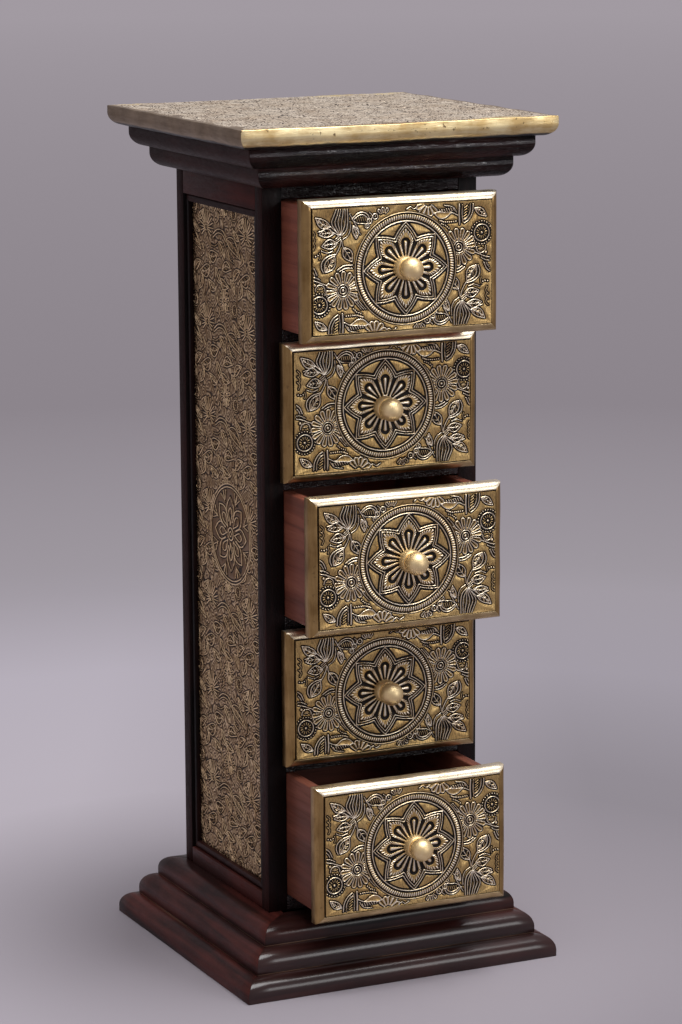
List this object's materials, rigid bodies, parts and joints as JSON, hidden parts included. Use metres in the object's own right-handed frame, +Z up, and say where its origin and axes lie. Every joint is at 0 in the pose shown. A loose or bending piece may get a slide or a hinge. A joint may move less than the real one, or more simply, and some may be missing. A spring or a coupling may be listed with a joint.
{
  "type": "chest of drawers",
  "caption": "Tall narrow chest with a stack of sliding drawers between a stepped base and a stepped cornice, dark lacquered wood clad with embossed brass sheet.",
  "frame": {"origin": "centre of the underside of the base", "axes": "+X to the right of someone facing the drawers, +Y to the back, +Z up; the drawers open along -Y"},
  "size_m": [0.245, 0.2767, 0.61],
  "materials": {
    "dark_wood": "dark lacquer, gloss",
    "drawer_wood": "red-brown stain, satin",
    "bare_wood": "plain, rubbed",
    "embossed_brass": "embossed, antiqued",
    "polished_brass": "turned, polished"
  },
  "bodies": {
    "carcass": {"back_panel": "dark_wood", "back_rails": "dark_wood", "base_board": "dark_wood", "cornice_lower": "dark_wood", "cornice_upper": "dark_wood", "drawer_runners_left": "bare_wood", "drawer_runners_right": "bare_wood", "front_rails": "dark_wood", "panel_beads_left": "dark_wood", "panel_beads_right": "dark_wood", "plinth_lower": "dark_wood", "plinth_middle": "dark_wood", "plinth_upper": "dark_wood", "post_back_left": "dark_wood", "post_back_right": "dark_wood", "post_front_left": "dark_wood", "post_front_right": "dark_wood", "side_brass_left": "embossed_brass", "side_brass_right": "embossed_brass", "side_panel_left": "dark_wood", "side_panel_right": "dark_wood", "side_rails_left": "dark_wood", "side_rails_right": "dark_wood", "top_board": "dark_wood", "top_brass_sheet": "embossed_brass"},
    "drawer_1": {"drawer_1_back": "drawer_wood", "drawer_1_bottom": "drawer_wood", "drawer_1_facing": "embossed_brass", "drawer_1_front_board": "drawer_wood", "drawer_1_knob": "polished_brass", "drawer_1_side_left": "drawer_wood", "drawer_1_side_right": "drawer_wood"},
    "drawer_2": {"drawer_2_back": "drawer_wood", "drawer_2_bottom": "drawer_wood", "drawer_2_facing": "embossed_brass", "drawer_2_front_board": "drawer_wood", "drawer_2_knob": "polished_brass", "drawer_2_side_left": "drawer_wood", "drawer_2_side_right": "drawer_wood"},
    "drawer_3": {"drawer_3_back": "drawer_wood", "drawer_3_bottom": "drawer_wood", "drawer_3_facing": "embossed_brass", "drawer_3_front_board": "drawer_wood", "drawer_3_knob": "polished_brass", "drawer_3_side_left": "drawer_wood", "drawer_3_side_right": "drawer_wood"},
    "drawer_4": {"drawer_4_back": "drawer_wood", "drawer_4_bottom": "drawer_wood", "drawer_4_facing": "embossed_brass", "drawer_4_front_board": "drawer_wood", "drawer_4_knob": "polished_brass", "drawer_4_side_left": "drawer_wood", "drawer_4_side_right": "drawer_wood"},
    "drawer_5": {"drawer_5_back": "drawer_wood", "drawer_5_bottom": "drawer_wood", "drawer_5_facing": "embossed_brass", "drawer_5_front_board": "drawer_wood", "drawer_5_knob": "polished_brass", "drawer_5_side_left": "drawer_wood", "drawer_5_side_right": "drawer_wood"}
  },
  "joints": [
    {"name": "drawer_1_slide", "type": "slide", "parent": "carcass", "child": "drawer_1", "axis": [0, -1, 0], "range_m": [-0.0397, 0.07]},
    {"name": "drawer_2_slide", "type": "slide", "parent": "carcass", "child": "drawer_2", "axis": [0, -1, 0], "range_m": [-0.0077, 0.102]},
    {"name": "drawer_3_slide", "type": "slide", "parent": "carcass", "child": "drawer_3", "axis": [0, -1, 0], "range_m": [-0.0467, 0.063]},
    {"name": "drawer_4_slide", "type": "slide", "parent": "carcass", "child": "drawer_4", "axis": [0, -1, 0], "range_m": [-0.0067, 0.103]},
    {"name": "drawer_5_slide", "type": "slide", "parent": "carcass", "child": "drawer_5", "axis": [0, -1, 0], "range_m": [-0.0537, 0.056]}
  ]
}
